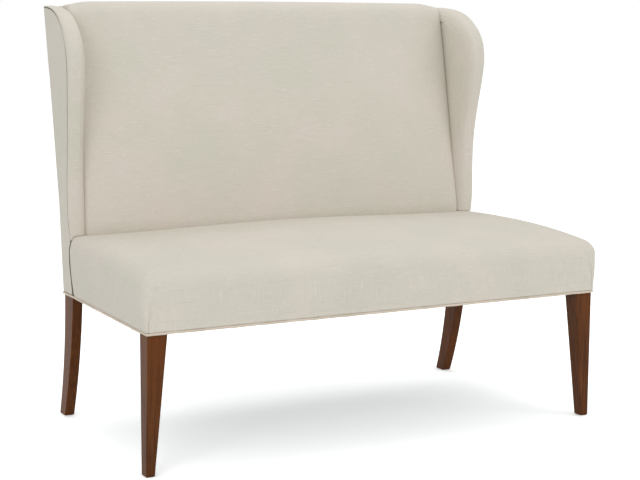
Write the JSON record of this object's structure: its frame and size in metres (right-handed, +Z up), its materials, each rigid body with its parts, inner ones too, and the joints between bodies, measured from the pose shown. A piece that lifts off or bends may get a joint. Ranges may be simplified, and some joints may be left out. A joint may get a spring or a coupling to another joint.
{
  "type": "settee",
  "caption": "Wing-back settee with a tight upholstered seat and back, rolled flared wings, tapered square front legs and swept-back rear legs.",
  "frame": {"origin": "on the floor, under the middle of the settee's box", "axes": "+X along the seat, to the viewer's right when facing the settee; +Y from the seat's front to its back; +Z up"},
  "size_m": [1.302, 0.762, 1.113],
  "materials": {
    "leg_wood": "red-brown stained hardwood, satin lacquer",
    "frame_wood": "bare sawn hardwood",
    "board": "bare plywood",
    "bolt_steel": "zinc plated",
    "linen": "oatmeal linen with slubs, plain weave",
    "outer_linen": "oatmeal linen with slubs, plain weave, over a thin backing",
    "welt_linen": "linen-covered piping cord",
    "foam": "upholstery foam under a thin wadding",
    "webbing": "jute webbing",
    "dust_cloth": "black non-woven cloth"
  },
  "bodies": {
    "root": {"front_leg_left": "leg_wood", "front_leg_right": "leg_wood", "rear_post_left": "leg_wood", "rear_post_right": "leg_wood", "front_rail": "frame_wood", "rear_rail": "frame_wood", "side_rail_left": "frame_wood", "side_rail_right": "frame_wood", "corner_block_front_left": "frame_wood", "corner_block_front_right": "frame_wood", "corner_block_rear_left": "frame_wood", "corner_block_rear_right": "frame_wood", "back_lower_rail": "frame_wood", "back_top_rail": "frame_wood", "back_slat_left": "frame_wood", "back_slat_right": "frame_wood", "wing_board_left": "board", "wing_board_right": "board", "corner_bolts": "bolt_steel", "seat_cover": "linen", "inside_back_cover": "linen", "wing_cover_left": "linen", "wing_cover_right": "linen", "side_panel_left": "outer_linen", "side_panel_right": "outer_linen", "outside_back_panel": "outer_linen", "base_welt": "welt_linen", "seat_foam": "foam", "back_foam": "foam", "wing_foam_left": "foam", "wing_foam_right": "foam", "seat_webbing": "webbing", "back_webbing": "webbing", "dust_cover": "dust_cloth"}
  },
  "joints": []
}
